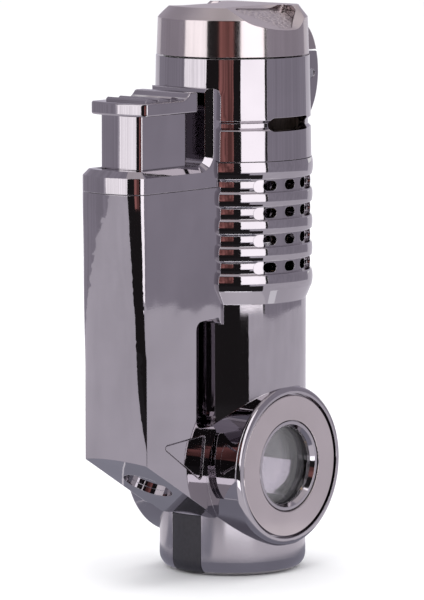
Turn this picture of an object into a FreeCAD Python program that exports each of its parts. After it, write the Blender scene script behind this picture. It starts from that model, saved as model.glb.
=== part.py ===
import FreeCAD, Part
import math
import os
import re
import Sketcher
from FreeCAD import Placement, Rotation, Vector

# Torch lighter with a round barrel, a flat leg beside it and a flip cap.
# Millimetres. The origin is the centre of the round foot, on the barrel's axis.
# +Z is up, the leg and its push button are on the -X side, the cap's hinge is on
# the +X side, and the two fuel windows look along -Y (front) and +Y (rear).

DIMENSIONS = {
    # foot, barrel and ribs of the lower casting
    "base_radius": 11.1,
    "base_edge": 2.2,
    "barrel_radius": 11.12,
    "rib_radius": 12.1,
    "rib_dome": 0.1,
    "rib_curve": 5.0,
    "groove_depth": 0.3,
    "groove_height": 1.55,
    "rib_bevel": 0.36,
    "rib_pitch": 4.09,
    "first_groove": 45.98,
    "shoulder_low": 41.3,
    "shoulder_high": 43.36,
    "barrel_bore": 9.9,
    "barrel_floor": 29.0,
    "castings_seam": 62.66,
    "seam_gap": 0.08,
    # vents in the ribbed section
    "vent_depth": 0.6,
    "vent_height": 1.95,
    "vent_half_angle": 30.0,
    "vent_hole_width": 2.3,
    "vent_hole_height": 1.5,
    "vent_hole_step": 20.0,
    # window boss, a cylinder along Y
    "window_height": 16.4,
    "boss_radius": 12.15,
    "boss_face": 11.4,
    "boss_edge": 0.8,
    "boss_bore": 9.7,
    "plate_seat_radius": 11.0,
    "plate_seat_depth": 1.25,
    # leg beside the barrel
    "leg_half": 6.06,
    "leg_top": 59.0,
    "leg_corner_x": -26.8,
    "leg_front_top": -29.4,
    "leg_front_low": -27.7,
    "leg_spread": 38.0,
    "leg_bow": 0.45,
    "leg_wall": 1.1,
    "cavity_front_top": -27.5,
    "cavity_front_low": -26.1,
    "slope_high_z": 19.4,
    "slope_low_x": -12.95,
    "slope_low_z": 10.6,
    "gap_left": -15.6,
    "gap_low": 23.2,
    "gap_high": 39.2,
    "plate_tab_x": -10.9,
    "plate_tab_z": 22.4,
    "plate_waist_x": -13.2,
    "plate_waist_z": 16.0,
    "neck_half": 5.3,
    "pocket_depth": 0.25,
    "pocket_groove": 0.65,
    "dimple_radius": 3.85,
    "dimple_depth": 0.83,
    "dimple_shift": 0.8,
    # upper casting
    "top_rim": 78.0,
    "top_low_radius": 11.9,
    "top_high_radius": 11.6,
    "top_bore": 10.4,
    "deck_low": 76.4,
    "deck_high": 77.2,
    "flame_hole": 6.0,
    "band_low": 67.33,
    "band_high": 68.82,
    "band_floor": 11.37,
    "band_reach": 1.6,
    "band_bevel": 0.4,
    "slot_low": 67.1,
    "slot_high": 69.15,
    "slot_half_angle": 17.5,
    "shelf_top": 62.4,
    "shelf_bevel": 0.95,
    "shelf_roof": 61.1,
    "post_face": -12.55,
    "post_top": 73.75,
    "post_edge": 0.6,
    "post_back": -10.0,
    "post_round": 1.7,
    "post_fillet": 1.9,
    # push button
    "button_left": -27.0,
    "button_right": -14.3,
    "button_half": 5.5,
    "button_crown": 1.3,
    "stem_crown": 1.1,
    "button_low": 70.35,
    "button_top": 72.3,
    "ridge_half": 3.9,
    "ridge_height": 0.55,
    "ridge_first": -24.4,
    "ridge_pitch": 2.75,
    "ramp_foot": -17.3,
    "ramp_head": -16.2,
    "ramp_top": 73.4,
    "stem_left": -26.3,
    "stem_right": -15.0,
    "stem_half": 4.0,
    "stem_low": 59.9,
    "stem_wall": 1.0,
    "stem_play": 0.22,
    # flip cap and its hinge
    "cap_low": 78.24,
    "cap_radius": 11.5,
    "cap_shoulder_radius": 11.3,
    "cap_shoulder": 83.7,
    "cap_top": 85.5,
    "cap_top_radius": 9.9,
    "cap_chord": 7.6,
    "cap_bore": 10.2,
    "cap_ceiling": 80.9,
    "scoop_edge": 4.3,
    "scoop_foot": 82.1,
    "scoop_left": -10.0,
    "scoop_right": 5.9,
    "scoop_left_bend": 4.0,
    "scoop_right_bend": 4.8,
    "hinge_x": 13.35,
    "hinge_z": 74.6,
    "lug_centre_x": 10.4,
    "lug_centre_z": 74.9,
    "lug_reach": 4.8,
    "lug_rise": 7.9,
    "lug_half": 4.5,
    "knuckle_radius": 1.4,
    "knuckle_half": 2.0,
    "knuckle_play": 0.2,
    "pin_radius": 0.7,
    # window stack, measured along Y from the middle plane
    "plate_radius": 10.7,
    "plate_hole": 6.95,
    "plate_outer_face": 11.2,
    "plate_inner_face": 10.2,
    "bezel_nose": 6.78,
    "bezel_face": 11.05,
    "bezel_sight": 5.85,
    "bezel_flange": 8.8,
    "bezel_back": 9.3,
    "lens_radius": 6.8,
    "lens_outer": 9.85,
    "lens_inner": 8.75,
    "seal_inner": 8.12,
    # fuel tank
    "tank_radius": 9.4,
    "tank_half": 8.0,
    "tank_wall": 1.2,
    "tank_lid_joint": 6.8,
    # foot cover, filler and flame control
    "cover_radius": 7.8,
    "cover_bore": 7.9,
    "cover_low": 0.35,
    "cover_high": 1.75,
    "filler_radius": 2.3,
    "filler_top": 9.6,
    "filler_socket": 0.95,
    "adjuster_x": -4.9,
    "adjuster_radius": 2.0,
    "insert_half": 2.72,
    "insert_top": 9.15,
    "insert_face": 9.75,
    "insert_gap": 0.08,
    # igniter in the leg
    "piezo_x": -21.6,
    "piezo_long": 7.8,
    "piezo_wide": 6.2,
    "piezo_low": 28.0,
    "piezo_high": 54.4,
    "plunger_long": 5.6,
    "plunger_wide": 4.4,
    "plunger_low": 40.0,
    "plunger_high": 69.2,
    # valve lever between leg and barrel
    "lever_x": -9.5,
    "lever_z": 43.4,
    "lever_pin": 0.6,
    # valve and burner on the barrel's axis
    "valve_radius": 2.5,
    "valve_flange": 4.0,
    "stem_radius": 1.0,
    "collar_low": 43.9,
    "collar_high": 44.5,
    "burner_low": 48.0,
    "burner_body": 4.5,
    "burner_shoulder": 53.0,
    "burner_tube": 4.2,
    "burner_tube_bore": 3.6,
    "burner_tube_top": 75.4,
    "electrode_x": -4.3,
    "electrode_y": 2.8,
    "electrode_low": 54.5,
    "electrode_high": 76.0,
    "wire_height": 52.0,
    "frame_right": -16.95,
}

doc = FreeCAD.newDocument("torch_lighter")
dims = doc.addObject("Spreadsheet::Sheet", "dims")
for row, (alias, millimetres) in enumerate(DIMENSIONS.items(), start=1):
    dims.set(f"A{row}", alias)
    dims.set(f"B{row}", str(millimetres))
    dims.setAlias(f"B{row}", alias)
doc.recompute()

UPRIGHT = Rotation()
TO_FRONT = Rotation(Vector(1, 0, 0), 90)    # turns +Z to -Y
TO_REAR = Rotation(Vector(1, 0, 0), -90)    # turns +Z to +Y


# ---------------------------------------------------------------- helpers

def formula(text):
    """Write a formula of dimension names as an expression on the sheet."""
    def cell(word):
        return "dims." + word.group() if word.group() in DIMENSIONS else word.group()
    return re.sub(r"[a-z_]+", cell, str(text))


def size(text):
    """The value of a formula of dimension names, in millimetres."""
    return float(dims.evalExpression(formula(text)))


def place(piece, x=0, y=0, z=0, turn=UPRIGHT):
    """Turn a piece, then tie where it stands to the sheet."""
    piece.Placement = Placement(Vector(), turn)
    for letter, text in zip("xyz", (x, y, z)):
        piece.setExpression(f"Placement.Base.{letter}", formula(text))
    return piece


def cylinder(name, radius, height, x=0, y=0, z=0, turn=UPRIGHT):
    piece = doc.addObject("Part::Cylinder", name)
    piece.setExpression("Radius", formula(radius))
    piece.setExpression("Height", formula(height))
    return place(piece, x, y, z, turn)


def cone(name, low_radius, high_radius, height, x=0, y=0, z=0):
    piece = doc.addObject("Part::Cone", name)
    piece.setExpression("Radius1", formula(low_radius))
    piece.setExpression("Radius2", formula(high_radius))
    piece.setExpression("Height", formula(height))
    return place(piece, x, y, z)


def block(name, x, y, z):
    """A box from three (low, high) pairs of formulas."""
    piece = doc.addObject("Part::Box", name)
    for side, (low, high) in zip(("Length", "Width", "Height"), (x, y, z)):
        piece.setExpression(side, formula(f"({high}) - ({low})"))
    return place(piece, x[0], y[0], z[0])


def fuse(name, *pieces):
    joined = doc.addObject("Part::MultiFuse", name)
    joined.Shapes = list(pieces)
    joined.Refine = True
    return joined


def cut(name, base, *tools):
    piece = doc.addObject("Part::Cut", name)
    piece.Base = base
    piece.Tool = tools[0] if len(tools) == 1 else fuse(name + "_tools", *tools)
    piece.Refine = True
    return piece


def common(name, *pieces):
    shared = doc.addObject("Part::MultiCommon", name)
    shared.Shapes = list(pieces)
    shared.Refine = True
    return shared


def outline(body, plane_role, corners):
    """A closed outline, anticlockwise; every corner follows the sheet.

    A corner is (across, up), or (across, up, radius) where an outward arc of that
    radius runs from it to the next corner in place of a straight side.
    """
    sketch = body.newObject("Sketcher::SketchObject", body.Name + "_outline")
    plane = next(item for item in body.Origin.OriginFeatures if item.Role == plane_role)
    sketch.AttachmentSupport = [(plane, "")]
    sketch.MapMode = "FlatFace"
    points = [Vector(size(corner[0]), size(corner[1]), 0) for corner in corners]
    for corner, start, end in zip(corners, points, points[1:] + points[:1]):
        if len(corner) == 2:
            sketch.addGeometry(Part.LineSegment(start, end), False)
            continue
        half_chord = (end - start).Length / 2
        outward = Vector(end.y - start.y, start.x - end.x, 0).normalize()
        rise = size(corner[2]) - math.sqrt(size(corner[2]) ** 2 - half_chord ** 2)
        sketch.addGeometry(Part.Arc(start, (start + end) / 2 + outward * rise, end), False)
    for side in range(len(points)):
        following = (side + 1) % len(points)
        sketch.addConstraint(Sketcher.Constraint("Coincident", side, 2, following, 1))
    for side, corner in enumerate(corners):
        for kind, text in zip(("DistanceX", "DistanceY"), corner):
            index = sketch.addConstraint(
                Sketcher.Constraint(kind, -1, 1, side, 1, size(text)))
            sketch.setExpression(f"Constraints[{index}]", formula(text))
        if len(corner) == 3:
            index = sketch.addConstraint(Sketcher.Constraint("Radius", side, size(corner[2])))
            sketch.setExpression(f"Constraints[{index}]", formula(corner[2]))
    return sketch


def slab(name, corners, half):
    """A plate with an outline in the XZ plane, even about that plane."""
    body = doc.addObject("PartDesign::Body", name)
    pad = body.newObject("PartDesign::Pad", name + "_pad")
    pad.Profile = outline(body, "XZ_Plane", corners)
    pad.SideType = "Symmetric"
    pad.setExpression("Length", formula(f"2 * ({half})"))
    body.Tip = pad
    return body


def turned(name, corners, x=0, y=0, z=0, turn=UPRIGHT):
    """A turned piece: (radius, height) corners spun about its own axis."""
    body = doc.addObject("PartDesign::Body", name)
    sketch = outline(body, "XZ_Plane", corners)
    spin = body.newObject("PartDesign::Revolution", name + "_spin")
    spin.Profile = sketch
    spin.ReferenceAxis = (sketch, ["V_Axis"])
    spin.Angle = 360
    body.Tip = spin
    return place(body, x, y, z, turn)


def ring(name, inner, outer, low, high, x=0, y=0, turn=UPRIGHT, z=0):
    corners = [(inner, low), (outer, low), (outer, high), (inner, high)]
    return turned(name, corners, x, y, z, turn)


def edges_of(base, test):
    """Numbers of the edges of a finished piece that pass a test."""
    doc.recompute()
    return [number for number, edge in enumerate(base.Shape.Edges, 1) if test(edge)]


def rounded(name, base, radius, test):
    """Round the chosen edges to one radius."""
    piece = doc.addObject("Part::Fillet", name)
    piece.Base = base
    piece.Edges = [(number, radius, radius) for number in edges_of(base, test)]
    return piece


def rounded_each(name, base, rules):
    """Round edges by several (test, radius) rules in one go."""
    piece = doc.addObject("Part::Fillet", name)
    piece.Base = base
    piece.Edges = [(number, radius, radius)
                   for test, radius in rules
                   for number in edges_of(base, test)]
    return piece


def bevelled(name, base, width, test):
    piece = doc.addObject("Part::Chamfer", name)
    piece.Base = base
    piece.Edges = [(number, width, width) for number in edges_of(base, test)]
    return piece


def ends(edge):
    return [vertex.Point for vertex in edge.Vertexes]


def along(edge, direction):
    """True for a straight edge that runs along a direction, either way."""
    if not isinstance(edge.Curve, Part.Line):
        return False
    return abs(edge.tangentAt(edge.FirstParameter).dot(direction)) > 0.999


def near(edge, x=None, y=None, z=None, tolerance=0.05):
    """True when the edge's middle lies at the stated coordinates."""
    middle = edge.CenterOfMass
    wanted = ((middle.x, x), (middle.y, y), (middle.z, z))
    return all(want is None or abs(have - want) < tolerance for have, want in wanted)


def circle_at(edge, radius, z):
    """True for an edge on a level circle about the barrel's axis."""
    curve = edge.Curve
    return (isinstance(curve, Part.Circle) and abs(curve.Radius - radius) < 0.01
            and abs(curve.Center.z - z) < 0.01)


def solid(name, shape):
    """A piece whose shape is made with Part's own functions."""
    piece = doc.addObject("Part::Feature", name)
    piece.Shape = shape
    return piece


def coil(name, radius, wire, low, high, turns, x=0, y=0):
    """A compression spring: a round wire swept along a helix about Z."""
    pitch = (high - low - wire) / turns
    path = Part.makeHelix(pitch, pitch * turns, radius)
    section = Part.Wire(Part.makeCircle(wire / 2, Vector(radius, 0, 0), Vector(0, 1, 0)))
    sweep = Part.Wire(path).makePipeShell([section], True, True)
    sweep.translate(Vector(x, y, low + wire / 2))
    return solid(name, sweep)


nodes = {}


def node(name, piece):
    """Name a finished piece; the name is also its file's name."""
    piece.Label = name
    nodes[name] = piece
    return piece


# ---------------------------------------------------------------- lower casting

def rib_corners():
    """Outer corners of the ribbed section: slightly domed rings with domed grooves."""
    ring_edge = "rib_radius - rib_dome"
    groove_edge = "rib_radius - rib_dome - groove_depth"
    corners = [(ring_edge, "shoulder_high", "rib_curve")]
    for groove in range(4):
        low = f"first_groove + {groove} * rib_pitch"
        corners.append((ring_edge, f"{low} - rib_bevel"))
        corners.append((groove_edge, low, "rib_curve"))
        corners.append((groove_edge, f"{low} + groove_height"))
        corners.append((ring_edge, f"{low} + groove_height + rib_bevel", "rib_curve"))
    corners.append((ring_edge, "castings_seam"))
    return corners


def vent_tools():
    """Recesses and holes of the vents, as one compound of cutters."""
    floor_radius = size("rib_radius - groove_depth - vent_depth")
    outer_radius = size("rib_radius + 1")
    half_height = size("vent_height") / 2
    tools = []
    for facing in (-90, 90):
        for groove in range(4):
            middle = size(f"first_groove + {groove} * rib_pitch + groove_height / 2")
            tools.append(arc_slot(floor_radius, outer_radius, middle, half_height,
                                  facing, size("vent_half_angle")))
            for step in (-1, 0, 1):
                angle = facing + step * size("vent_hole_step")
                reach = math.degrees(size("vent_hole_width / 2 - vent_hole_height / 2")
                                     / floor_radius)
                tools.append(arc_slot(size("barrel_bore - 1"), outer_radius, middle,
                                      size("vent_hole_height / 2"), angle, reach))
    return solid("vent_cutters", Part.makeCompound(tools))


def arc_slot(inner, outer, middle, half_height, facing, half_angle):
    """A slot that follows the barrel's wall, with round ends."""
    low = Vector(0, 0, middle - half_height)
    disc = Part.makeCylinder(outer, 2 * half_height, low, Vector(0, 0, 1), 2 * half_angle)
    core = Part.makeCylinder(inner, 2 * half_height, low)
    slot = disc.cut(core)
    slot.rotate(Vector(), Vector(0, 0, 1), facing - half_angle)
    for side in (-1, 1):
        angle = math.radians(facing + side * half_angle)
        outward = Vector(math.cos(angle), math.sin(angle), 0)
        start = outward * inner + Vector(0, 0, middle)
        slot = slot.fuse(Part.makeCylinder(half_height, outer - inner, start, outward))
    return slot


barrel_blank = turned("barrel_blank", [
    ("0", "window_height"),
    ("barrel_radius", "window_height"),
    ("barrel_radius", "shoulder_low"),
    *rib_corners(),
    ("0", "castings_seam"),
])

foot_cylinder = cylinder("foot_cylinder", "base_radius", "window_height")
foot_blank = rounded("foot_blank", foot_cylinder, size("base_edge"),
                     lambda edge: circle_at(edge, size("base_radius"), 0))

boss_cylinder = cylinder("boss_cylinder", "boss_radius", "2 * boss_face",
                         y="boss_face", z="window_height", turn=TO_FRONT)
boss_blank = rounded("boss_blank", boss_cylinder, size("boss_edge"),
                     lambda edge: isinstance(edge.Curve, Part.Circle))

# Side view of the leg: down its front, along the slope under it, up the plate's
# edge to the small tab, round the open gap and up inside the barrel.
leg_profile = slab("leg_profile", [
    ("leg_front_low - 3",
     "slope_high_z + 3 * (slope_high_z - slope_low_z) / (slope_low_x - leg_front_low)"),
    ("slope_low_x", "slope_low_z"),
    ("plate_waist_x", "plate_waist_z"),
    ("plate_waist_x + 0.7", "plate_waist_z + 3.5"),
    ("plate_tab_x", "plate_tab_z"),
    ("plate_tab_x - 0.7", "gap_low"),
    ("gap_left", "gap_low"),
    ("gap_left", "gap_high"),
    ("plate_tab_x + 0.5", "gap_high + 0.3"),
    ("plate_tab_x + 1.0", "gap_high - 0.8"),
    ("-8.5", "gap_high - 0.8"),
    ("-8.5", "leg_top"),
    ("leg_front_low - 3", "leg_top"),
], "leg_half + 2")

ACROSS = Vector(0, 1, 0)


def leg_side_corner(x, z):
    """Test for the edge that runs across the leg at one corner of its side view."""
    return lambda edge: along(edge, ACROSS) and near(edge, x=size(x), z=size(z))


leg_soft = rounded_each("leg_soft", leg_profile, [
    (leg_side_corner("plate_waist_x", "plate_waist_z"), 4.0),
    (leg_side_corner("plate_waist_x + 0.7", "plate_waist_z + 3.5"), 4.0),
    (leg_side_corner("plate_tab_x", "plate_tab_z"), 0.6),
    (leg_side_corner("plate_tab_x - 0.7", "gap_low"), 0.5),
    (leg_side_corner("gap_left", "gap_low"), 1.2),
    (leg_side_corner("gap_left", "gap_high"), 1.4),
    (leg_side_corner("plate_tab_x + 0.5", "gap_high + 0.3"), 0.45),
    (leg_side_corner("plate_tab_x + 1.0", "gap_high - 0.8"), 0.45),
])


def crowned_outline(front, crown, half, back, height, bow=None):
    """Plan outline with flat sides, a straight back and a front that bows out by `crown`.

    The front is the middle stretch of an ellipse whose half-width is `bow`. Where
    `bow` equals the outline's own half-width, the front runs smoothly into the sides.
    """
    bow = bow or half
    turn = math.acos(half / bow)
    reach = crown / (1 - math.sin(turn))
    centre = Vector(front + reach, 0, height)
    ellipse = Part.Ellipse(centre + Vector(0, bow, 0), centre - Vector(reach, 0, 0), centre)
    arc = Part.ArcOfEllipse(ellipse, turn, math.pi - turn).toShape()
    corners = [Vector(arc.Vertexes[1].Point), Vector(back, -half, height),
               Vector(back, half, height), Vector(arc.Vertexes[0].Point)]
    sides = [Part.makeLine(start, end) for start, end in zip(corners, corners[1:])]
    return Part.Wire([arc, *sides])


def crowned_prism(name, front, crown, half, back, low, high):
    """An upright piece with a bowed front between two heights."""
    wire = crowned_outline(size(front), size(crown), size(half), size(back), size(low))
    return solid(name, Part.Face(wire).extrude(Vector(0, 0, size(high) - size(low))))


LEG_SECTIONS = 9


def leg_form():
    """The leg's plan, lofted from its top to its foot.

    The front gets flatter on the way down. Its corners are blended at the top and
    turn crisp below leg_spread.
    """
    top = size("leg_top")
    foot = size("slope_high_z")
    lowest = size("slope_low_z")
    wires = []
    for section in range(LEG_SECTIONS):
        height = top + (lowest - top) * section / (LEG_SECTIONS - 1)
        way_down = (top - height) / (top - foot)
        front = size("leg_front_top") + way_down * size("leg_front_low - leg_front_top")
        crispness = (size("leg_spread") - height) / (size("leg_spread") - foot)
        crispness = min(max(crispness, 0.0), 1.0)
        bow = size("leg_half") * (1 + size("leg_bow") * crispness ** 2)
        wires.append(crowned_outline(front, size("leg_corner_x") - front, size("leg_half"),
                                     -8.0, height, bow))
    return solid("leg_form", Part.makeLoft(wires, True, False))


leg_blank = common("leg_blank", leg_soft, leg_form())

# The slope carries on under the barrel, down to the top of the foot's insert.
SLOPE_RATE = "(slope_high_z - slope_low_z) / (slope_low_x - leg_front_low)"
neck = slab("neck", [
    ("slope_low_x - 1.5", f"slope_low_z + 1.5 * {SLOPE_RATE}"),
    ("-10.4", f"slope_low_z + (slope_low_x + 10.4) * {SLOPE_RATE}"),
    ("-8", "slope_low_z"),
    ("-8", "plate_tab_z"),
    ("slope_low_x - 1.5", "plate_tab_z"),
], "neck_half")

leg_cavity = slab("leg_cavity", [
    ("cavity_front_low", "slope_high_z + 1.1"),
    ("gap_left + 1", "slope_low_z + 3"),
    ("gap_left + 1", "gap_low - 2.1"),
    ("gap_left - leg_wall", "gap_low - 2.1"),
    ("gap_left - leg_wall", "gap_high + 1.6"),
    ("-8.5", "gap_high + 2.2"),
    ("-8.5", "leg_top + 1"),
    ("cavity_front_top", "leg_top + 1"),
], "leg_half - leg_wall")

slope_angle = math.degrees(math.atan2(size("slope_high_z - slope_low_z"),
                                      size("slope_low_x - leg_front_low")))
dimple_turn = Rotation(Vector(0, 1, 0), slope_angle)
dimple_axis = dimple_turn.multVec(Vector(0, 0, 1))
down_slope = dimple_turn.multVec(Vector(1, 0, 0))
dimple = cylinder(
    "dimple", "dimple_radius", "2",
    f"(leg_front_low + slope_low_x) / 2 + {down_slope.x:.6f} * dimple_shift"
    f" + {dimple_axis.x:.6f} * (dimple_depth - 2)", 0,
    f"(slope_high_z + slope_low_z) / 2 + {down_slope.z:.6f} * dimple_shift"
    f" + {dimple_axis.z:.6f} * (dimple_depth - 2)",
    dimple_turn)


POCKET = [("-23.6", "21.5"), ("-14.4", "15.2"), ("-13.5", "22.2")]
POCKET_FIELD = [("-22.9", "21.3"), ("-14.6", "15.6"), ("-13.8", "22.0")]


def pocket_prism(name, corners, corner_radius):
    """A triangular prism 2 mm long that ends at the XZ plane, to be moved to a side."""
    body = slab(name, corners, "1")
    return rounded(name + "_soft", body, corner_radius, lambda edge: along(edge, ACROSS))


def side_pocket():
    """Cutters for the shallow triangle in both sides, with a deeper groove round its edge."""
    prism = pocket_prism("pocket_prism", POCKET, 0.5)
    field = pocket_prism("pocket_field", POCKET_FIELD, 0.35)
    doc.recompute()
    groove = prism.Shape.cut(field.Shape)
    tools = []
    for side in (-1, 1):
        for shape, depth in ((prism.Shape, "pocket_depth"), (groove, "pocket_groove")):
            tool = shape.copy()
            tool.translate(Vector(0, side * size(f"leg_half - ({depth}) + 1"), 0))
            tools.append(tool)
    return solid("side_pockets", Part.makeCompound(tools))


insert_slot = block("insert_slot",
                    ("-base_radius - 1", "-insert_face + insert_gap"),
                    ("-insert_half - insert_gap", "insert_half + insert_gap"),
                    ("-1", "insert_top + insert_gap"))

shell_outer = fuse("shell_outer", barrel_blank, foot_blank, boss_blank, leg_blank, neck)
main_shell = cut(
    "main_shell_cut", shell_outer,
    cylinder("barrel_bore_tool", "barrel_bore", "40", z="barrel_floor"),
    cylinder("valve_hole_tool", "3", "6", z="barrel_floor - 4"),
    cylinder("boss_bore_tool", "boss_bore", "2 * boss_face + 2",
             y="boss_face + 1", z="window_height", turn=TO_FRONT),
    cylinder("front_seat_tool", "plate_seat_radius", "plate_seat_depth + 1",
             y="-boss_face + plate_seat_depth", z="window_height", turn=TO_FRONT),
    cylinder("rear_seat_tool", "plate_seat_radius", "plate_seat_depth + 1",
             y="boss_face - plate_seat_depth", z="window_height", turn=TO_REAR),
    cylinder("foot_bore_tool", "cover_bore", "11", z="-1"),
    leg_cavity, dimple, insert_slot, vent_tools(), side_pocket(),
)
node("main_shell", main_shell)


# ---------------------------------------------------------------- upper casting

def shelf_chain(edge):
    """The open rim of the button's frame: along the shelf, up and over the post."""
    middle = edge.CenterOfMass
    at_side = abs(abs(middle.y) - size("leg_half")) < 0.01
    on_shelf = abs(middle.z - size("shelf_top")) < 0.01
    on_post = middle.z > size("shelf_top") + 0.1 and middle.x < size("post_face") + 0.01
    if on_shelf:
        at_front = middle.x < size("leg_corner_x")
        return at_side or at_front
    return at_side and on_post


shelf = crowned_prism("shelf", "leg_front_top", "leg_corner_x - leg_front_top", "leg_half", "-8",
                      "leg_top + seam_gap", "shelf_top")
post = block("post", ("post_face", "post_back"), ("-leg_half", "leg_half"),
             ("leg_top + seam_gap", "post_top"))
frame_blank = fuse("frame_blank", shelf, post)
frame_soft = rounded_each("frame_soft", frame_blank, [
    (lambda edge: along(edge, ACROSS)
     and near(edge, x=size("post_face"), z=size("shelf_top")), size("post_fillet")),
    (lambda edge: along(edge, ACROSS)
     and near(edge, x=size("post_back"), z=size("post_top")), size("post_round")),
])
frame_bevel = bevelled("frame_bevel", frame_soft, size("shelf_bevel"), shelf_chain)
post_crown = rounded("post_crown", frame_bevel, size("post_edge"),
                     lambda edge: along(edge, ACROSS) and near(edge, z=size("post_top"))
                     and near(edge, x=size("post_face")))

top_barrel_blank = cone("top_barrel_blank", "top_low_radius", "top_high_radius",
                        "top_rim - castings_seam - seam_gap", z="castings_seam + seam_gap")
# A shallow groove with sloping sides, cut well past the wall.
band = turned("band", [
    ("band_floor", "band_low + band_bevel"),
    ("band_floor + band_reach", "band_low + band_bevel - band_reach"),
    ("band_floor + band_reach", "band_high - band_bevel + band_reach"),
    ("band_floor", "band_high - band_bevel"),
])
top_barrel = cut("top_barrel", top_barrel_blank, band)

# The hinge lug is a tall rounded hump on the barrel's back; the same hump
# carries on above the seam as part of the cap.
lug_curve = doc.addObject("Part::Ellipse", "lug_curve")
lug_curve.setExpression("MajorRadius", formula("lug_rise"))
lug_curve.setExpression("MinorRadius", formula("lug_reach"))
place(lug_curve, "lug_centre_x", 0, "lug_centre_z", Rotation(Vector(1, 1, 1), 240))
lug_blank = doc.addObject("Part::Extrusion", "lug_blank")
lug_blank.Base = lug_curve
lug_blank.Dir = Vector(0, 1, 0)
lug_blank.DirMode = "Custom"
lug_blank.setExpression("LengthFwd", formula("2 * lug_half"))
lug_blank.Symmetric = True
lug_blank.Solid = True


def lug_part(name, low, high):
    """The stretch of the hump between two heights, with its long edges rounded."""
    stretch = common(name + "_sharp", lug_blank,
                     block(name + "_room", ("9", "20"), ("-9", "9"), (low, high)))
    return rounded(name, stretch, 0.5,
                   lambda edge: not isinstance(edge.Curve, Part.Line)
                   and abs(abs(edge.CenterOfMass.y) - size("lug_half")) < 0.01)


low_lug = lug_part("low_lug", "60", "top_rim")
high_lug = lug_part("high_lug", "cap_low", "90")
# The cap's hump sweeps past this corner as the cap opens.
lug_corner = cut("lug_corner",
                 block("lug_corner_block", ("hinge_x", "20"), ("-9", "9"),
                       ("hinge_z", "top_rim + 1")),
                 cylinder("lug_corner_core", "cap_low - hinge_z - 0.14", "20",
                          "hinge_x", "10", "hinge_z", TO_FRONT))
knuckle_slot = block("knuckle_slot", ("top_high_radius + 0.15", "20"),
                     ("-knuckle_half - knuckle_play", "knuckle_half + knuckle_play"),
                     ("hinge_z - knuckle_radius - 0.5", "top_rim + 1"))


def pin_hole(name, play):
    """Bore for the hinge pin with a stated radial play."""
    return cylinder(name, f"pin_radius + {play}", "12", "hinge_x", "6", "hinge_z", TO_FRONT)


def side_slots(name, inner):
    """The two long air slots in the upper barrel's wall."""
    middle = size("slot_low + slot_high") / 2
    half = size("slot_high - slot_low") / 2
    slots = [arc_slot(inner, size("top_low_radius + 1"), middle, half,
                      facing, size("slot_half_angle")) for facing in (-90, 90)]
    return solid(name, Part.makeCompound(slots))


upper_outer = fuse("upper_outer", top_barrel, post_crown, low_lug)
upper_housing = cut(
    "upper_housing_cut", upper_outer,
    cylinder("rib_clearance", "rib_radius + 2 * seam_gap", "castings_seam + seam_gap - 58", z="58"),
    cylinder("top_bore_tool", "top_bore", "deck_low - castings_seam", z="castings_seam"),
    cylinder("rim_recess_tool", "top_bore + 0.2", "5", z="deck_high"),
    cylinder("flame_hole_tool", "flame_hole", "10", z="deck_low - 2"),
    block("stem_opening", ("stem_left - stem_play", "stem_right + stem_play"),
          ("-stem_half - stem_play", "stem_half + stem_play"), ("leg_top - 1", "shelf_top + 1")),
    block("shelf_cavity", ("cavity_front_top", "post_face - 1"),
          ("-leg_half + leg_wall", "leg_half - leg_wall"), ("leg_top - 1", "shelf_roof")),
    lug_corner, knuckle_slot, pin_hole("ear_bore", 0.01),
    side_slots("slot_cutters", size("top_bore - 1")),
)
node("upper_housing", upper_housing)


# ---------------------------------------------------------------- push button

def ridge(number):
    """One grip ridge: upright towards the thumb's push, sloping behind."""
    start = f"ridge_first + {number} * ridge_pitch"
    return slab(f"ridge_{number}", [
        (start, "button_top - 0.4"),
        (f"{start} + 2.3", "button_top - 0.4"),
        (f"{start} + 2.3", "button_top + 0.12"),
        (f"{start} + 0.35", "button_top + ridge_height"),
        (start, "button_top + ridge_height - 0.25"),
    ], "ridge_half")


button_plate = slab("button_plate", [
    ("button_left - 1", "button_low"),
    ("button_right", "button_low"),
    ("button_right", "ramp_top"),
    ("ramp_head", "ramp_top"),
    ("ramp_foot", "button_top"),
    ("button_left - 1", "button_top"),
], "button_half + 2")
button_form = crowned_prism("button_form", "button_left", "button_crown", "button_half",
                            "button_right", "button_low - 1", "ramp_top + 1")
button_cut = common("button_cut", button_plate, button_form)
plate_soft = rounded_each("plate_soft", button_cut, [
    (lambda edge: along(edge, Vector(0, 0, 1)) and near(edge, x=size("button_right")), 0.6),
    (lambda edge: along(edge, ACROSS)
     and near(edge, x=size("ramp_foot"), z=size("button_top")), 2.0),
    (lambda edge: along(edge, ACROSS)
     and near(edge, x=size("ramp_head"), z=size("ramp_top")), 0.6),
])
plate_rim = rounded("plate_rim", plate_soft, 0.3, lambda edge: not along(edge, ACROSS)
                    and not along(edge, Vector(0, 0, 1)))
button_stem_blank = crowned_prism("button_stem_blank", "stem_left", "stem_crown", "stem_half",
                                  "stem_right", "stem_low", "button_low + 0.6")
button_stem = rounded("button_stem", button_stem_blank, 0.8,
                      lambda edge: along(edge, Vector(0, 0, 1))
                      and near(edge, x=size("stem_right")))
stem_flange = block("stem_flange", ("stem_left - 0.3", "stem_right + 0.8"),
                    ("-stem_half - 0.6", "stem_half + 0.6"), ("stem_low", "stem_low + 1"))
push_arm = block("push_arm", ("-16.4", "-15.1"), ("-1.2", "1.2"),
                 ("lever_z + 5.1", "stem_low + 0.5"))
stem_hollow = block("stem_hollow", ("stem_left + stem_wall", "stem_right - stem_wall"),
                    ("-stem_half + stem_wall", "stem_half - stem_wall"),
                    ("stem_low - 1", "plunger_high + 0.2"))
button_shell = cut("button_shell",
                   fuse("button_outer", plate_rim, button_stem, stem_flange,
                        *[ridge(number) for number in range(3)]),
                   stem_hollow)
node("trigger_button", fuse("trigger_button_fuse", button_shell, push_arm))


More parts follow.
